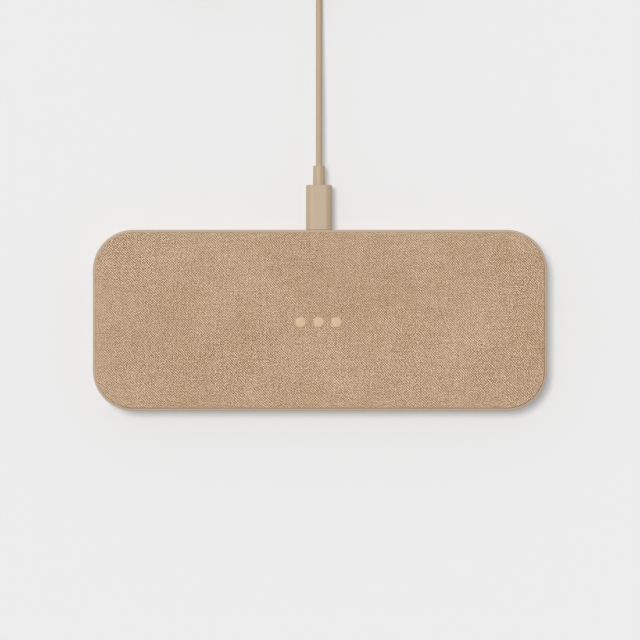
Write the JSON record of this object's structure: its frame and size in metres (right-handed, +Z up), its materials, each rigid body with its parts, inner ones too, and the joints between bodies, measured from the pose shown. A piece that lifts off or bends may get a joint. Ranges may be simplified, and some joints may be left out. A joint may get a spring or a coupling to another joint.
{
  "type": "wireless charging pad",
  "caption": "Flat rounded rectangular wireless charging pad with a linen top in a slim moulded rim, and a detachable round cord lead that plugs into its rear edge.",
  "frame": {"origin": "on the surface that the pad stands on, under the middle of the pad", "axes": "+X to the right along the pad's length, +Y to the rear edge with the port, +Z up"},
  "size_m": [0.19, 0.2262, 0.0118],
  "materials": {
    "housing": "warm beige moulding, fine matt texture",
    "foot_mat": "matt silicone",
    "screws": "zinc-plated steel",
    "top_plate": "matt",
    "foam": "open-cell foam",
    "linen": "plain-woven linen with slubs",
    "markers": "smooth matt silicone",
    "coil_tray": "matt",
    "ferrite": "sintered ferrite, matt",
    "copper": "enamelled stranded copper wire",
    "thermistor": "epoxy bead on a flat ribbon",
    "board": "green solder mask",
    "connector_shell": "satin nickel",
    "connector_insert": "matt",
    "chips": "matt epoxy",
    "ceramic_parts": "matt ceramic",
    "capacitor_cans": "satin",
    "leds": "white",
    "light_pipes": "milky diffuser",
    "plug_moulding": "warm beige, fine matt texture",
    "cord": "smooth matt jacket",
    "cord_ties": "matt silicone strap"
  },
  "bodies": {
    "pad": {"base_housing": "housing", "foot_mat": "foot_mat", "case_screws": "screws", "top_plate": "top_plate", "foam_pad": "foam", "linen_cover": "linen", "marker_discs": "markers", "coil_tray_left": "coil_tray", "coil_tray_right": "coil_tray", "tray_screws": "screws", "ferrite_left": "ferrite", "ferrite_right": "ferrite", "charging_coil_left": "copper", "charging_coil_right": "copper", "coil_thermistors": "thermistor", "main_board": "board", "board_screws": "screws", "usb_port_shell": "connector_shell", "usb_port_tongue": "connector_insert", "controller_chips": "chips", "driver_chips": "chips", "power_inductors": "ferrite", "resonant_capacitors": "ceramic_parts", "input_capacitors": "capacitor_cans", "status_leds": "leds", "light_pipes": "light_pipes"},
    "lead": {"plug_overmould": "plug_moulding", "plug_shell": "connector_shell", "plug_insert": "connector_insert", "plug_strain_relief": "plug_moulding", "cord_lead": "cord", "cord_coil": "cord", "cord_tail": "cord", "cord_ties": "cord_ties", "charger_plug_relief": "plug_moulding", "charger_plug_overmould": "plug_moulding", "charger_plug_shell": "connector_shell", "charger_plug_insert": "connector_insert"}
  },
  "joints": [
    {"name": "plug_pull", "type": "slide", "parent": "pad", "child": "lead", "axis": [0, 1, 0], "range_m": [0, 0.012]}
  ]
}
